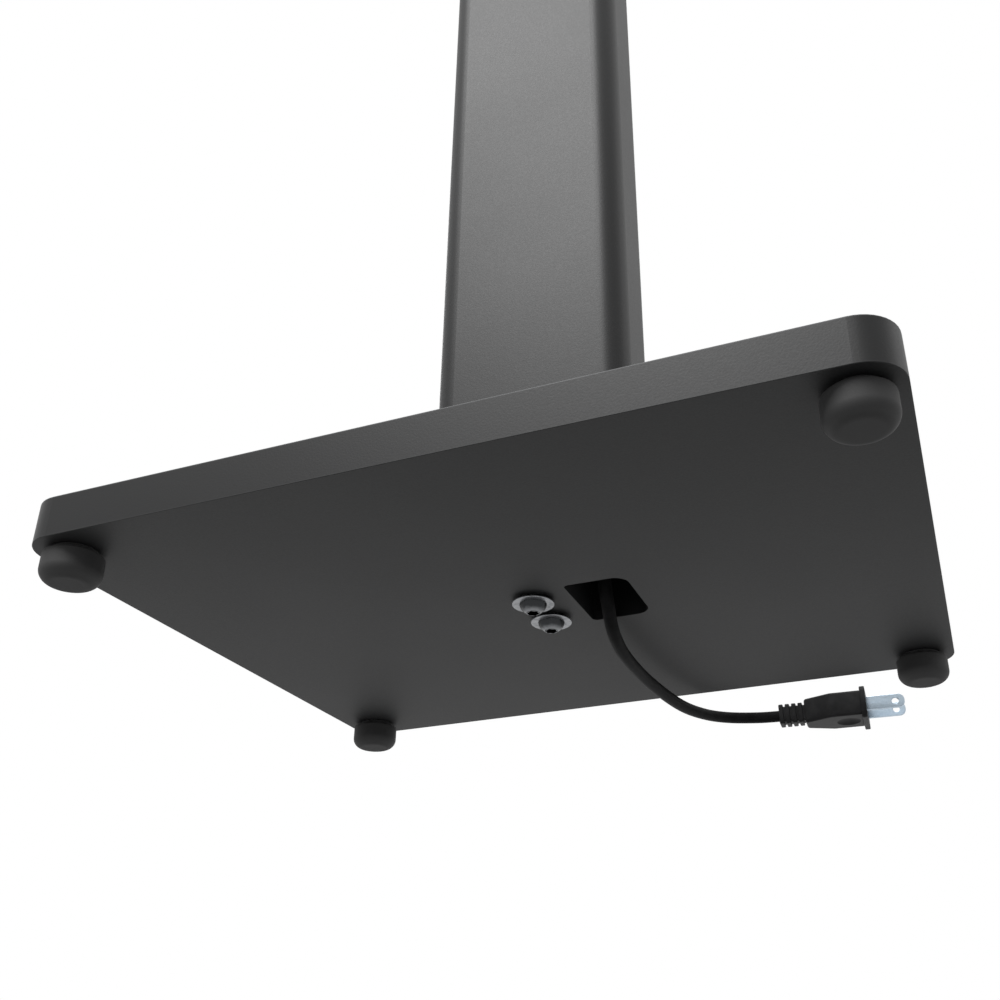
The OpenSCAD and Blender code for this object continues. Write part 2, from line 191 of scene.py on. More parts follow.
powderCoat = {
    "plates": {"colour": (0.011, 0.0112, 0.0115), "depth": 0.00003, "speckled": 0.12, "specular": 0.24},
    "column": {"colour": (0.015, 0.0152, 0.0155), "depth": 0.000048, "speckled": 0.5, "specular": 0.22},
    "grain": 1500.0,  # bumps in a metre, as are the next three
    "peel": 300.0,
    "speckles": 2600.0,
    "clouds": 9.0,
    "cloudTones": (0.93, 1.07),  # shares of the colour
    "speckleTone": 2.6,
    "roughness": 0.45,
    "undersideRoughness": 0.12,  # added where the coat got less powder
    "undersideHeights": (0.00005, 0.0004),  # above the lower face, where that ends
    # the painted highlight along the plates' edges: its width, its colour and its share round the lower face
    "edgeHighlightWidth": 0.0005,
    "edgeHighlightColour": (0.1, 0.102, 0.105),
    "lowerEdgeHighlight": 0.15,  # amount of the painted edge highlight round a plate's lower face
    "corner": 0.013,  # radius of the plates' corners
}


# Amount of the painted edge highlight: it lies on the outline of a plate, next to its upper and lower face
def edgeHighlightAmount(paint, where, low, high):
    width, corner = powderCoat["edgeHighlightWidth"], powderCoat["corner"]
    outward = []
    for axis, near, far in (("X", low.x, high.x), ("Y", low.y, high.y)):
        fromMiddle = abs(paint.coordinate(where, axis) - (near + far) / 2)
        outward.append(paint.maths("MAXIMUM", fromMiddle - ((far - near) / 2 - corner), 0.0))
    inward = corner - (outward[0] ** 2 + outward[1] ** 2) ** 0.5
    height = paint.coordinate(where, "Z")
    upper = paint.step(height, high.z - width, high.z - width / 2)
    lower = 1 - paint.step(height, low.z + width / 2, low.z + width)
    return (1 - paint.step(inward, width / 2, width)) * (upper + lower * powderCoat["lowerEdgeHighlight"])


def powderCoatMaterial(name, coat, plate=None):
    paint = Shader(name)
    where = paint.place()
    cloud = paint.noise(where, powderCoat["clouds"], 3.0)
    fine = paint.noise(where, powderCoat["grain"], 2.0, 0.6)
    peel = paint.noise(where, powderCoat["peel"])
    speckle = paint.step(paint.noise(where, powderCoat["speckles"], 1.0), 0.52, 0.78)
    darker, lighter = (tinted(coat["colour"], share) for share in powderCoat["cloudTones"])
    base = paint.mix(paint.step(cloud, 0.3, 0.7), darker, lighter)
    base = paint.mix(speckle * coat["speckled"], base, tinted(coat["colour"], powderCoat["speckleTone"]))
    matte = paint.waver(powderCoat["roughness"], (fine, 0.12), (cloud, 0.08))
    if plate:
        low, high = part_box(plate)
        start, end = powderCoat["undersideHeights"]
        below = 1 - paint.step(paint.coordinate(where, "Z"), low.z + start, low.z + end)
        matte = matte + below * powderCoat["undersideRoughness"]
        # painted highlight: the plates' edges take a paler colour, standing in for the light their small
        # fillets catch
        base = paint.mix(edgeHighlightAmount(paint, where, low, high), base, powderCoat["edgeHighlightColour"])
    relief = paint.bump(peel, 0.12, 2 * coat["depth"])
    relief = paint.bump(fine, 0.8, coat["depth"], relief)
    return paint.finish(
        Base_Color=base, Roughness=matte, Specular_IOR_Level=coat["specular"], Normal=relief
    )


coatedBase = powderCoatMaterial("coatedBase", powderCoat["plates"], "base_plate")
coatedTop = powderCoatMaterial("coatedTop", powderCoat["plates"], "top_plate")
coatedAluminium = powderCoatMaterial("coatedAluminium", powderCoat["column"])

# Rubber: nearly black, matte, with a fine eroded mould texture and a little dust

rubber = {
    "colour": (0.012, 0.012, 0.0122),
    "dust": (0.036, 0.035, 0.034),
    "clouds": 120.0,  # patches of dust in a metre
    "grit": 3500.0,
    "depth": 0.00004,
    "scuff": 0.1,  # roughness that the floor adds to a foot's sole
    "scuffHeight": 0.0012,
    "feet": {"roughness": 0.75, "specular": 0.52, "dusty": 0.25},
    "pad": {"roughness": 0.7, "specular": 0.15, "dusty": 0.15},
    "grommet": {"roughness": 0.68, "specular": 0.12, "dusty": 0.1},
}


def rubberMaterial(name, kind, scuffed=False):
    skin = Shader(name)
    where = skin.place()
    cloud = skin.noise(where, rubber["clouds"], 4.0, 0.6)
    grit = skin.noise(where, rubber["grit"])
    dust = skin.step(cloud, 0.55, 0.8) * kind["dusty"]
    base = skin.mix(dust, rubber["colour"], rubber["dust"])
    matte = skin.waver(kind["roughness"], (grit, 0.15)) + dust * 0.2
    if scuffed:
        sole = 1 - skin.step(skin.coordinate(where, "Z"), 0.0, rubber["scuffHeight"])
        matte = matte + sole * rubber["scuff"]
    relief = skin.bump(grit, 0.5, rubber["depth"])
    return skin.finish(
        Base_Color=base, Roughness=matte, Specular_IOR_Level=kind["specular"], Normal=relief
    )


footRubber = rubberMaterial("footRubber", rubber["feet"], scuffed=True)
padRubber = rubberMaterial("padRubber", rubber["pad"])
grommetRubber = rubberMaterial("grommetRubber", rubber["grommet"])

# Zinc plate: grey metal with stains and tiny pits

zinc = {
    "colour": (0.225, 0.23, 0.24),
    "dark": (0.12, 0.125, 0.134),
    "roughness": 0.3,
    "stains": 450.0,  # in a metre
    "pits": 4000.0,
    "depth": 0.00002,
}


def zincMaterial():
    metal = Shader("zinc")
    where = metal.place()
    stain = metal.noise(where, zinc["stains"], 4.0, 0.6)
    pits = metal.noise(where, zinc["pits"])
    base = metal.mix(metal.step(stain, 0.42, 0.75), zinc["colour"], zinc["dark"])
    matte = metal.waver(zinc["roughness"], (stain, 0.3), (pits, 0.1))
    relief = metal.bump(pits, 0.35, zinc["depth"])
    return metal.finish(Base_Color=base, Roughness=matte, Metallic=1.0, Normal=relief)


zincPlate = zincMaterial()

# Screw heads: the same plate, with painted shade towards the seat, standing in for the dark plate underside
# the head mirrors, and painted shade inside the socket

head = {
    # dark is the painted shade towards the seat, and socket is the painted shade inside the socket
    "dark": (0.03, 0.031, 0.033),
    "pale": (0.2, 0.205, 0.214),
    "socket": (0.006, 0.006, 0.0065),
    "stains": 700.0,
    "stainHeight": 0.0012,  # how far the stains move the limit of the painted seat shade
    "seatShadeHeights": (-0.0004, 0.0017),  # above the flat end, from the plain pale zinc to the painted shade
    "socketHeights": (0.00005, 0.0004),
    "socketRadii": (0.0023, 0.002484),  # where the socket's painted black ends
}


def headMaterial():
    metal = Shader("screwHead")
    where = metal.place()
    x, y, z = (metal.coordinate(where, axis) for axis in "XYZ")
    front, rear = ((low + high) / 2 for low, high in map(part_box, ("base_screw_front", "base_screw_rear")))
    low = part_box("base_screw_front")[0].z
    apart = abs(y - (front.y + rear.y) / 2) - (rear.y - front.y) / 2
    radius = ((x - front.x) ** 2 + apart ** 2) ** 0.5
    stain = metal.noise(where, head["stains"], 4.0, 0.6)
    # painted shade: the head is darker towards the seat
    start, end = head["seatShadeHeights"]
    seatShade = metal.step(metal.waver(z, (stain, head["stainHeight"])), low + start, low + end)
    base = metal.mix(seatShade, head["pale"], head["dark"])
    # painted shade: black inside the socket
    start, end = head["socketHeights"]
    inside = (1 - metal.step(radius, *head["socketRadii"])) * metal.step(z, low + start, low + end)
    base = metal.mix(inside, base, head["socket"])
    matte = metal.waver(zinc["roughness"], (stain, 0.2))
    relief = metal.bump(metal.noise(where, zinc["pits"]), 0.3, zinc["depth"])
    return metal.finish(Base_Color=base, Roughness=matte, Metallic=1.0, Normal=relief)


zincHead = headMaterial()

# Nickel plate of the blades: pale metal, mottled, with streaks along the blade

nickel = {
    "colour": (0.44, 0.52, 0.59),
    "streak": (0.29, 0.36, 0.43),
    "roughness": 0.38,
    "streaks": (60, 1600, 1600),  # in a metre, along X and across
    "mottle": 700.0,
    "depth": 0.00002,
}


def nickelMaterial():
    metal = Shader("nickel")
    streaks = metal.noise(metal.place(scale=nickel["streaks"]), 1.0, 3.0, 0.6)
    mottle = metal.noise(metal.place(), nickel["mottle"], 3.0, 0.6)
    worn = metal.step(mottle, 0.4, 0.7) * 0.55 + metal.step(streaks, 0.5, 0.8) * 0.3
    base = metal.mix(worn, nickel["colour"], nickel["streak"])
    matte = metal.waver(nickel["roughness"], (mottle, 0.2), (streaks, 0.15))
    relief = metal.bump(streaks, 0.25, nickel["depth"])
    return metal.finish(Base_Color=base, Roughness=matte, Metallic=1.0, Normal=relief)


nickelPlate = nickelMaterial()

# Moulded black plastic of the plug and the connector, coarser in the plug's finger dimples and darker there
# with painted shade

moulded = {
    "colour": (0.03, 0.03, 0.0307),
    "cloudTone": 1.5,
    "roughness": 0.45,
    "specular": 0.08,
    "erosion": 3800.0,  # bumps in a metre
    "clouds": 160.0,
    "depth": 0.00004,
    "dimpleRadii": (0.0052, 0.0056),  # where the dimple's coarser texture and painted shade end
    "dimpleShadeTone": 0.75,
    "dimpleRoughness": 0.2,
}


def mouldedMaterial(dimple):
    plastic = Shader("plugPlastic")
    where = plastic.place()
    eroded = plastic.noise(where, moulded["erosion"], 2.0, 0.6)
    cloud = plastic.noise(where, moulded["clouds"], 3.0)
    paler = tinted(moulded["colour"], moulded["cloudTone"])
    base = plastic.mix(plastic.step(cloud, 0.35, 0.7), moulded["colour"], paler)
    matte = plastic.waver(moulded["roughness"], (eroded, 0.16), (cloud, 0.1))
    # the dimples are rougher, and darkened with painted shade as in a recess
    within = 1 - plastic.step(plastic.reach(dimple.x, dimple.y), *moulded["dimpleRadii"])
    base = plastic.mix(within, base, tinted(moulded["colour"], moulded["dimpleShadeTone"]))
    matte = matte + within * moulded["dimpleRoughness"]
    relief = plastic.bump(eroded, 0.4, moulded["depth"])
    return plastic.finish(
        Base_Color=base, Roughness=matte, Specular_IOR_Level=moulded["specular"], Normal=relief
    )


# Cord sheath: satin black, with faint lines along the cord and slow changes of gloss

sheath = {
    "colour": (0.015, 0.015, 0.0154),
    "blotchTone": 1.6,
    "roughness": 0.54,
    "specular": 0.04,
    "lines": (60, 12, 1),  # round the cord, and in a metre along it
    "blotches": 220.0,
    "depth": 0.00006,
}


def sheathMaterial():
    skin = Shader("cordSheath")
    uv = skin.node("TexCoord", output="UV")
    lines = skin.noise(skin.node("Mapping", None, {"Vector": uv, "Scale": sheath["lines"]}), 1.0)
    blotch = skin.noise(skin.place(), sheath["blotches"], 3.0)
    paler = tinted(sheath["colour"], sheath["blotchTone"])
    base = skin.mix(skin.step(blotch, 0.35, 0.7), sheath["colour"], paler)
    matte = skin.waver(sheath["roughness"], (lines, 0.18), (blotch, 0.12))
    relief = skin.bump(lines, 0.35, sheath["depth"])
    return skin.finish(
        Base_Color=base, Roughness=matte, Specular_IOR_Level=sheath["specular"], Normal=relief
    )


cordSheath = sheathMaterial()
print("materials made")

# Mesh tools

overrun = 0.001  # how far a cutter passes through a piece, or a joined piece reaches into another
slack = 2e-5  # two heights that differ by less count as one


def objectMode():
    if bpy.context.object and bpy.context.object.mode != "OBJECT":
        bpy.ops.object.mode_set(mode="OBJECT")


def clearPick():
    objectMode()
    bpy.ops.object.select_all(action="DESELECT")


# Selects one object alone, ready for an operator
def pickObject(piece):
    clearPick()
    piece.select_set(True)
    bpy.context.view_layer.objects.active = piece


# Selects the edges or faces that a rule names, in edit mode
def pick(piece, kind, rule):
    if bpy.context.object is not piece or piece.mode != "EDIT":
        pickObject(piece)
        bpy.ops.object.mode_set(mode="EDIT")
    bpy.ops.mesh.select_mode(type=kind)
    bpy.ops.mesh.select_all(action="DESELECT")
    mesh = bmesh.from_edit_mesh(piece.data)
    for item in {"EDGE": mesh.edges, "FACE": mesh.faces}[kind]:
        item.select_set(rule(item))
    mesh.select_flush_mode()
    bmesh.update_edit_mesh(piece.data)


# True where all the corners of an edge or face lie at one height along an axis
def level(item, axis, height):
    return all(abs(vert.co[axis] - height) < slack for vert in item.verts)


# True for an edge whose ends lie apart along an axis
def along(edge, axis):
    return abs(edge.verts[0].co[axis] - edge.verts[1].co[axis]) > slack


def bevelPicked(width, segments):
    bpy.ops.mesh.bevel(offset=width, segments=segments, affect="EDGES")


# Insets the picked face and raises what is left of it
def raisePicked(inset, height):
    bpy.ops.mesh.inset(thickness=inset)
    bpy.ops.mesh.extrude_region_move(TRANSFORM_OT_translate={"value": (0, 0, height)})
    objectMode()


def applyPlace(piece):
    pickObject(piece)
    bpy.ops.object.transform_apply(location=True, rotation=True, scale=True)
    return piece


def block(low, high):
    clearPick()
    low, high = Vector(low), Vector(high)
    bpy.ops.mesh.primitive_cube_add(size=1, location=(low + high) / 2, scale=high - low)
    return applyPlace(bpy.context.object)


def drum(x, y, radius, low, high, sides=64):
    clearPick()
    bpy.ops.mesh.primitive_cylinder_add(
        vertices=sides, radius=radius, depth=high - low, location=(x, y, (low + high) / 2)
    )
    return applyPlace(bpy.context.object)


def ball(x, y, z, radius, sides, rings):
    clearPick()
    bpy.ops.mesh.primitive_uv_sphere_add(
        segments=sides, ring_count=rings, radius=radius, location=(x, y, z)
    )
    return applyPlace(bpy.context.object)


def applyModifier(piece, kind, **settings):
    pickObject(piece)
    modifier = piece.modifiers.new("work", kind)
    for key, value in settings.items():
        setattr(modifier, key, value)
    bpy.ops.object.modifier_apply(modifier=modifier.name)


# Cuts one object out of another, or joins them, and removes it
def carve(piece, cutter, operation="DIFFERENCE"):
    applyModifier(piece, "BOOLEAN", operation=operation, object=cutter, solver="EXACT")
    bpy.data.objects.remove(cutter)


def soften(piece, width, segments=3, angle=35.0):
    applyModifier(
        piece, "BEVEL", width=width, segments=segments, limit_method="ANGLE", angle_limit=math.radians(angle),
        harden_normals=False, miter_outer="MITER_ARC", use_clamp_overlap=True,
    )


# Cleans a piece, smooths its shading, and gives it its name, finish and place in the stand
def finishPiece(piece, name, material, replaced, angle=32.0):
    applyPlace(piece)
    bpy.ops.object.mode_set(mode="EDIT")
    bpy.ops.mesh.select_all(action="SELECT")
    bpy.ops.mesh.remove_doubles(threshold=1e-6)
    bpy.ops.mesh.normals_make_consistent(inside=False)
    bpy.ops.object.mode_set(mode="OBJECT")
    bpy.ops.object.shade_smooth_by_angle(angle=math.radians(angle))
    applyModifier(piece, "WEIGHTED_NORMAL", keep_sharp=True, weight=80)
    piece.name = name
    piece.data.name = name
    piece.data.materials.clear()
    piece.data.materials.append(material)
    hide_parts(replaced)
    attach(piece, "root")
    piece.select_set(False)
    return piece


def copyOf(piece, move):
    clearPick()
    twin = piece.copy()
    twin.data = piece.data.copy()
    bpy.context.collection.objects.link(twin)
    pickObject(twin)
    bpy.ops.transform.translate(value=move)
    return applyPlace(twin)


# Free cord: out of the opening in the base plate, along the floor and up into the plug

cord = {
    "diameter": 0.0052,
    "sides": 20,
    "stepsBetween": 5,  # rings from one route point to the next
    "route": [
        (0.024, 0.003, 0.0274), (0.024, 0.0033, 0.0243), (0.024, 0.0049, 0.0189),
        (0.0239, 0.0075, 0.0144), (0.0234, 0.0112, 0.0104), (0.0228, 0.0157, 0.0074),
        (0.0223, 0.0204, 0.0056), (0.0219, 0.0255, 0.0044), (0.0216, 0.031, 0.0035),
        (0.0215, 0.0375, 0.0029), (0.0214, 0.045, 0.0026), (0.0214, 0.054, 0.0026),
        (0.0216, 0.063, 0.0026), (0.0222, 0.072, 0.0026), (0.023, 0.081, 0.0026),
        (0.024, 0.0896, 0.0026), (0.0251, 0.0978, 0.0027), (0.0265, 0.1058, 0.0029),
        (0.0283, 0.1136, 0.0033), (0.0306, 0.1212, 0.0039), (0.0335, 0.1286, 0.0046),
        (0.0373, 0.1355, 0.0054), (0.0422, 0.1416, 0.0062), (0.0481, 0.1465, 0.0069),
        (0.055, 0.1499, 0.0073), (0.0625, 0.1515, 0.0075),
    ],
}
run = {
    "low": cord["route"][0],
    "high": (0.02665, 0.0, 0.7644),
    "sway": 0.0015,  # how far the cord inside the column strays from the straight line
    "waves": 3,
    "rings": 60,
}


# Points on a smooth line through the given ones, never below the lowest of them
def smoothLine(points, steps):
    points = [Vector(p) for p in points]
    lowest = min(p.z for p in points)
    line = []
    for i in range(len(points) - 1):
        before, here, there = points[max(i - 1, 0)], points[i], points[i + 1]
        after = points[min(i + 2, len(points) - 1)]
        for k in range(steps):
            t = k / steps
            p = 0.5 * (
                2 * here + (there - before) * t + (2 * before - 5 * here + 4 * there - after) * t * t
                + (3 * here - before - 3 * there + after) * t ** 3
            )
            p.z = max(p.z, lowest)
            line.append(p)
    line.append(points[-1])
    return line


def lineLength(points):
    return sum((b - a).length for a, b in zip(points, points[1:]))


# Round tube along a line, closed at both ends, with its length in metres as V
def tube(name, points, diameter, sides):
    mesh = bpy.data.meshes.new(name)
    work = bmesh.new()
    uvLayer = work.loops.layers.uv.new("UVMap")
    side = Vector((1, -1, 0)).normalized()
    rings, travel = [], [0.0]
    for i, p in enumerate(points):
        heading = (points[min(i + 1, len(points) - 1)] - points[max(i - 1, 0)]).normalized()
        side = (side - heading * side.dot(heading)).normalized()
        other = heading.cross(side)
        if i:
            travel.append(travel[-1] + (p - points[i - 1]).length)
        ring = []
        for k in range(sides):
            turn = 2 * math.pi * k / sides
            ring.append(work.verts.new(p + diameter / 2 * (math.cos(turn) * side + math.sin(turn) * other)))
        rings.append(ring)
    for i in range(len(rings) - 1):
        for k in range(sides):
            n = (k + 1) % sides
            face = work.faces.new((rings[i][k], rings[i][n], rings[i + 1][n], rings[i + 1][k]))
            marks = ((k, i), (k + 1, i), (k + 1, i + 1), (k, i + 1))
            for loop, (u, v) in zip(face.loops, marks):
                loop[uvLayer].uv = (u / sides, travel[v])
    work.faces.new(list(reversed(rings[0])))
    work.faces.new(rings[-1])
    work.to_mesh(mesh)
    work.free()
    piece = bpy.data.objects.new(name, mesh)
    bpy.context.collection.objects.link(piece)
    return piece


def makeCord(name, line, node):
    piece = tube(name, line, cord["diameter"], cord["sides"])
    return finishPiece(piece, name, cordSheath, node, 60)


# The cord inside the column, which sways a little from side to side
def runLine():
    low, high = Vector(run["low"]), Vector(run["high"])
    line = []
    for k in range(run["rings"] + 1):
        t = k / run["rings"]
        sway = run["sway"] * math.sin(2 * math.pi * run["waves"] * t) * math.sin(math.pi * t)
        line.append(low.lerp(high, t) + Vector((0, sway, 0)))
    return line


cordLine = smoothLine(cord["route"], cord["stepsBetween"])
freeCord = makeCord("freeCord", cordLine, "cord_free")
makeCord("innerCord", runLine(), "cord_run")
print("cords made, free cord", round(lineLength(cordLine), 4), "m")

# Plug: a moulded body with a ribbed sleeve, finger dimples and a rim, and two blades

plug = {
    "place": cord["route"][-1],
    "turn": 3.0,
    "length": 0.0267,
    "width": 0.0206,
    "thickness": 0.0116,
    "tailWidth": 0.010,
    "taper": 0.0123,
    "edge": 0.0011,
    "rimOut": 0.0017,
    "rimThickness": 0.0018,
    "rimRoot": 0.0006,  # how far the rim reaches back into the body
    "rimCorner": 0.0026,
    "rimEdge": 0.0004,
    "ribs": 4,
    "ribPitch": 0.003,
    "ribThickness": 0.002,
    "ribHeight": 0.0095,
    "ribWidth": 0.0084,
    "ribDepth": 0.001,
    "ribCorner": 0.0013,
    "ribEdge": 0.0003,
    "coreFrom": 0.0002,  # where the sleeve's core starts, inside the first rib
    "coreEdge": 0.0009,
    "dimple": 0.011,
    "dimpleDepth": 0.0009,
}
blade = {
    "width": 0.00635,
    "thickness": 0.0015,
    "length": 0.017,
    "pitch": 0.0127,
    "hole": 0.0031,
    "holeFromTip": 0.0042,
    "tipCorner": 0.0029,
    "edge": 0.0002,
    "root": 0.009,
}
# The plug is made round the cord's end, pointing along X, and then laid in its place on the floor
plugSpot = Matrix.Translation(plug["place"]) @ Matrix.Rotation(math.radians(plug["turn"]), 4, "Z")
sleeveEnd = plug["ribs"] * plug["ribPitch"]
plugFace = sleeveEnd + plug["length"] + plug["rimThickness"]
dimpleAt = sleeveEnd + (plug["taper"] + plug["length"]) / 2
plugPlastic = mouldedMaterial(plugSpot @ Vector((dimpleAt, 0, 0)))


def layPlug(piece):
    piece.matrix_world = plugSpot
    return applyPlace(piece)


# Block along X whose long edges are rounded, and then all its edges a little
def roundedBar(low, high, corner, cornerSegments, edge, edgeSegments):
    bar = block(low, high)
    pick(bar, "EDGE", lambda e: along(e, 0))
    bevelPicked(corner, cornerSegments)
    soften(bar, edge, edgeSegments)
    return bar


def makePlug():
    halfW, halfT = plug["width"] / 2, plug["thickness"] / 2
    body = block((sleeveEnd, -halfW, -halfT), (sleeveEnd + plug["length"], halfW, halfT))
    pick(body, "FACE", lambda f: True)
    bpy.ops.mesh.bisect(plane_co=(sleeveEnd + plug["taper"], 0, 0), plane_no=(1, 0, 0))
    pick(body, "FACE", lambda f: level(f, 0, sleeveEnd))
    bpy.ops.transform.resize(value=(1, plug["tailWidth"] / plug["width"], 1))
    soften(body, plug["edge"], 5, 8.0)
    deep = plug["dimpleDepth"]
    radius = (plug["dimple"] ** 2 / 4 + deep ** 2) / (2 * deep)
    for side in (-1, 1):
        carve(body, ball(dimpleAt, 0, side * (halfT - deep + radius), radius, 160, 80))
    rimW, rimT = halfW + plug["rimOut"], halfT + plug["rimOut"]
    low = (sleeveEnd + plug["length"] - plug["rimRoot"], -rimW, -rimT)
    high = (plugFace, rimW, rimT)
    carve(body, roundedBar(low, high, plug["rimCorner"], 8, plug["rimEdge"], 3), "UNION")
    ribW, ribT = plug["ribWidth"] / 2, plug["ribHeight"] / 2
    coreW, coreT = ribW - plug["ribDepth"], ribT - plug["ribDepth"]
    core = block((plug["coreFrom"], -coreW, -coreT), (sleeveEnd + overrun, coreW, coreT))
    soften(core, plug["coreEdge"], 4)
    carve(body, core, "UNION")
    for i in range(plug["ribs"]):
        low = (i * plug["ribPitch"], -ribW, -ribT)
        high = (i * plug["ribPitch"] + plug["ribThickness"], ribW, ribT)
        carve(body, roundedBar(low, high, plug["ribCorner"], 5, plug["ribEdge"], 2), "UNION")
    return finishPiece(layPlug(body), "plugBody", plugPlastic, "plug", 30)


def makeBlade(name, side, node):
    half, halfT = blade["width"] / 2, blade["thickness"] / 2
    at, tip = side * blade["pitch"] / 2, plugFace + blade["length"]
    strip = block((plugFace - blade["root"], at - halfT, -half), (tip, at + halfT, half))
    pick(strip, "EDGE", lambda e: along(e, 1) and level(e, 0, tip))
    bevelPicked(blade["tipCorner"], 12)
    hole = drum(0, 0, blade["hole"] / 2, -half, half, 40)
    quarter = Matrix.Rotation(math.radians(90), 4, "X")
    hole.matrix_world = Matrix.Translation((tip - blade["holeFromTip"], at, 0)) @ quarter
    carve(strip, applyPlace(hole))
    soften(strip, blade["edge"], 2)
    return finishPiece(layPlug(strip), name, nickelPlate, node, 30)


plugBody = makePlug()
bladeFront = makeBlade("bladeFront", -1, "blade_front")
bladeRear = makeBlade("bladeRear", 1, "blade_rear")
round(lineLength(cordLine), 4)
print("plug made")

# Screws and washers under the base plate

screw = {
    "head": 0.0105,
    "headHeight": 0.0034,  # the round head ends in a flat at this height
    "headEnd": 0.005,
    "shank": 0.006,
    "length": 0.030,
    "socket": 0.004,
    "socketDepth": 0.0022,
    "edge": 0.00008,
    "sharp": 0.6,  # edges that turn by more than this, in radians, are softened
}
washer = {
    "outer": 0.016,
    "inner": 0.0066,
    "rim": 0.0007,
    "collar": 0.011,  # keeps the rim clear of the base plate
    "edge": 0.0002,
}


# Middle of a node, seen from above
def middle(node):
    low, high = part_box(node)
    return (low.x + high.x) / 2, (low.y + high.y) / 2


def makeWasher(name, node):
    low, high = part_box(node)
    x, y = middle(node)
    ring = drum(x, y, washer["outer"] / 2, low.z, low.z + washer["rim"], 96)
    pick(ring, "FACE", lambda f: f.normal.z > 0.99)
    raisePicked((washer["outer"] - washer["collar"]) / 2, high.z - low.z - washer["rim"])
    carve(ring, drum(x, y, washer["inner"] / 2, low.z - overrun, high.z + overrun))
    soften(ring, washer["edge"])
    return finishPiece(ring, name, zincPlate, node)


def makeScrew(name, node):
    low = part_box(node)[0]
    x, y = middle(node)
    radius, tall = screw["head"] / 2, screw["headHeight"]
    seat = low.z + tall
    # Height of the ball's middle over the seat, for a ball that ends in the right flat
    rise = (radius ** 2 - (screw["headEnd"] / 2) ** 2 - tall ** 2) / (2 * tall)
    button = ball(x, y, seat + rise, math.hypot(radius, rise), 96, 64)
    pick(button, "FACE", lambda f: True)
    bpy.ops.mesh.bisect(plane_co=(x, y, seat), plane_no=(0, 0, 1), clear_outer=True, use_fill=True)
    bpy.ops.mesh.select_all(action="SELECT")
    bpy.ops.mesh.bisect(plane_co=(x, y, low.z), plane_no=(0, 0, 1), clear_inner=True, use_fill=True)
    pick(button, "FACE", lambda f: f.normal.z > 0.99 and level(f, 2, seat))
    raisePicked(radius - screw["shank"] / 2, screw["length"])
    socketEnd = low.z + screw["socketDepth"]
    carve(button, drum(x, y, screw["socket"] / math.sqrt(3), low.z - 2 * overrun, socketEnd, 6))
    # The flat end's edges are softened, and the seat stays sharp against the washer
    pick(button, "EDGE", lambda e: e.is_manifold and e.calc_face_angle() > screw["sharp"]
         and max(vert.co.z for vert in e.verts) < low.z + screw["socketDepth"] / 2)
    bevelPicked(screw["edge"], 2)
    return finishPiece(button, name, zincHead, node, 35)


for part in ("front", "rear"):
    makeWasher("washer" + part.capitalize(), "washer_" + part)
    makeScrew("baseScrew" + part.capitalize(), "base_screw_" + part)
print("screws and washers made")

# Feet: rubber pucks with a wide round lower edge, on a short neck

foot = {
    "width": 0.0208,
    "edge": 0.0046,
    "rim": 0.001,
    "neck": 0.016,
    "neckHeight": 0.0015,
    "soleRing": 0.0004,  # narrow ring of faces round the sole, which keeps its shading flat
}


def makeFoot(name, node):
    low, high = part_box(node)
    x, y = middle(node)
    top = high.z - foot["neckHeight"]
    puck = drum(x, y, foot["width"] / 2, low.z, top, 96)
    pick(puck, "EDGE", lambda e: level(e, 2, low.z))
    bevelPicked(foot["edge"], 14)
    pick(puck, "EDGE", lambda e: level(e, 2, top))
    bevelPicked(foot["rim"], 5)
    pick(puck, "FACE", lambda f: level(f, 2, low.z))
    bpy.ops.mesh.inset(thickness=foot["soleRing"])
    pick(puck, "FACE", lambda f: level(f, 2, top))
    raisePicked((foot["width"] - foot["neck"]) / 2 - foot["rim"], foot["neckHeight"])
    return finishPiece(puck, name, footRubber, node, 40)


firstFoot = makeFoot("footFrontLeft", "foot_front_left")
for end, hand in (("front", "right"), ("rear", "left"), ("rear", "right")):
    node = "foot_" + end + "_" + hand
    twin = copyOf(firstFoot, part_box(node)[0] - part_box("foot_front_left")[0])
    finishPiece(twin, "foot" + end.capitalize() + hand.capitalize(), footRubber, node, 40)
print("feet made")

# Pad on the top plate, and the grommet with a hole for the connector's nose in the pad's opening

pad = {
    "corner": 0.009,
    "edge": 0.0006,
}
grommet = {
    "innerCorner": 0.0045,
    "outerCorner": 0.0083,
    "edge": 0.0007,
    "gap": 0.0003,
    "stem": 0.0237,  # length of the part inside the top plate
    "overlap": 0.0005,
    "nose": 0.0082,
    "nosePitch": 0.005,
}


# Block whose upright corners are rounded, those towards +X with their own radius
def roundBlock(low, high, corner, outerCorner):
    piece = block(low, high)
    for radius, x in ((corner, low[0]), (outerCorner, high[0])):
        pick(piece, "EDGE", lambda e: along(e, 2) and level(e, 0, x))
        bevelPicked(radius, 10)
    objectMode()
    return piece


# Upright figure-eight bar, the shape of the connector's nose
def noseBar(x, y, low, high):
    radius, apart = grommet["nose"] / 2, grommet["nosePitch"] / 2
    bar = drum(x, y - apart, radius, low, high, 72)
    carve(bar, drum(x, y + apart, radius, low, high, 72), "UNION")
    return bar


def makePad():
    low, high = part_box("top_pad")
    rimLow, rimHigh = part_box("grommet")
    gap = grommet["gap"]
    slab = roundBlock(low, high, pad["corner"], pad["corner"])
    hole = roundBlock(
        (rimLow.x - gap, rimLow.y - gap, low.z - overrun),
        (rimHigh.x + gap, rimHigh.y + gap, high.z + overrun),
        grommet["innerCorner"] + gap, grommet["outerCorner"] + gap,
    )
    carve(slab, hole)
    soften(slab, pad["edge"])
    finishPiece(slab, "topPad", padRubber, "top_pad")


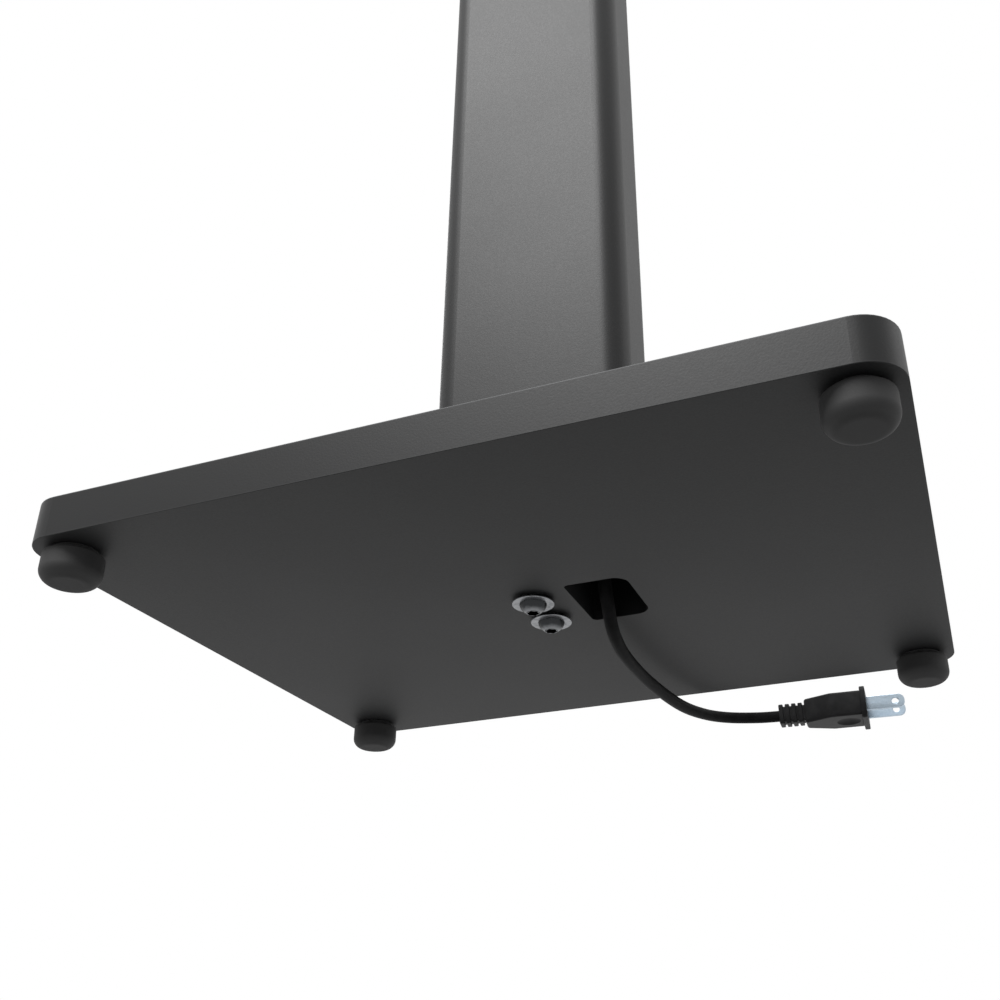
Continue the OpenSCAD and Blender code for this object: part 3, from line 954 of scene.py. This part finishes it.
def makeGrommet():
    low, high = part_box("grommet")
    x, y = middle("grommet")
    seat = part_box("top_pad")[0].z
    inset = (high.x - low.x - grommet["stem"]) / 2
    ring = roundBlock((low.x, low.y, seat), high, grommet["innerCorner"], grommet["outerCorner"])
    stem = roundBlock(
        (low.x + inset, low.y + inset, low.z), (high.x - inset, high.y - inset, seat + grommet["overlap"]),
        grommet["innerCorner"] - inset, grommet["outerCorner"] - inset,
    )
    carve(ring, stem, "UNION")
    carve(ring, noseBar(x, y, low.z - overrun, high.z + overrun))
    soften(ring, grommet["edge"])
    finishPiece(ring, "cableGrommet", grommetRubber, "grommet")


makePad()
makeGrommet()
print("top made")

# Nodes of the model that stay as they are get their finish

kept = {
    "base_plate": coatedBase,
    "top_plate": coatedTop,
    "column": coatedAluminium,
    "connector": plugPlastic,
    "top_screw_front": zincPlate,
    "top_screw_rear": zincPlate,
}
for end in ("front", "rear"):
    for hand in ("left", "right"):
        kept["stud_" + end + "_" + hand] = zincPlate
for name, material in kept.items():
    nodes[name].data.materials.clear()
    nodes[name].data.materials.append(material)
print("finishes given")

# Floor, backdrop and light

studio = {
    "floorSize": 6.0,
    "floorFade": (0.45, 1.1),  # distances between which the floor fades into the white background
    "floorColour": (0.86, 0.86, 0.86),
    "floorTone": 0.97,  # darkest share of the colour
    "floorClouds": 60.0,
    "fill": 0.14,  # plain light from all sides
}
lamps = [
    # name, place, target, width, height, watts
    ("keyLamp", (-0.33, -1.49, 1.8), (0, 0, 0.25), 1.25, 1.0, 66.0),
    ("sideLamp", (1.9, 0.7, 1.3), (0, 0, 0.3), 0.8, 1.4, 3.6),
    ("backLamp", (-1.0, 1.5, 1.2), (0, 0, 0.35), 1.2, 1.2, 10.0),
]


# The floor shows only to the camera, only from above and only round the stand
def makeFloor():
    clearPick()
    bpy.ops.mesh.primitive_plane_add(size=studio["floorSize"], location=(0, 0, 0))
    floor = bpy.context.object
    floor.name = "floor"
    look = Shader("floorPaint")
    camera = look.node("LightPath", output="Is Camera Ray")
    behind = look.node("NewGeometry", output="Backfacing")
    cloud = look.noise(look.place(), studio["floorClouds"], 3.0)
    tone = look.mix(cloud, tinted(studio["floorColour"], studio["floorTone"]), studio["floorColour"])
    paint = look.node("BsdfDiffuse", None, {"Color": tone})
    clear = look.node("BsdfTransparent")
    near = 1 - look.step(look.reach(), *studio["floorFade"])
    shown = look.node("MixShader", None, {0: camera * (1 - behind) * near, 1: clear, 2: paint})
    look.node("OutputMaterial", None, {"Surface": shown})
    floor.data.materials.append(look.holder)


# White where it is seen or mirrored, and a weak plain light everywhere else
def makeWorld():
    world = bpy.data.worlds.new("studio")
    bpy.context.scene.world = world
    sky = Shader("studio", world)
    white, fill = (
        sky.node("Background", None, {"Color": (1, 1, 1), "Strength": strength})
        for strength in (1.0, studio["fill"])
    )
    camera, glossy, through = (
        sky.node("LightPath", output="Is " + kind + " Ray") for kind in ("Camera", "Glossy", "Transmission")
    )
    seen = sky.maths("MAXIMUM", camera, sky.maths("MAXIMUM", glossy, through))
    both = sky.node("MixShader", None, {0: seen, 1: fill, 2: white})
    sky.node("OutputWorld", None, {"Surface": both})


def makeLamps():
    for name, place, target, width, height, watts in lamps:
        bpy.ops.object.light_add(type="AREA", location=place)
        lamp = bpy.context.object
        lamp.name = name
        lamp.data.shape = "RECTANGLE"
        lamp.data.size, lamp.data.size_y = width, height
        lamp.data.energy = watts
        lamp.rotation_euler = (Vector(target) - Vector(place)).to_track_quat("-Z", "Y").to_euler()


makeFloor()
makeWorld()
makeLamps()
bpy.context.scene.view_settings.view_transform = "Standard"
print("studio made")
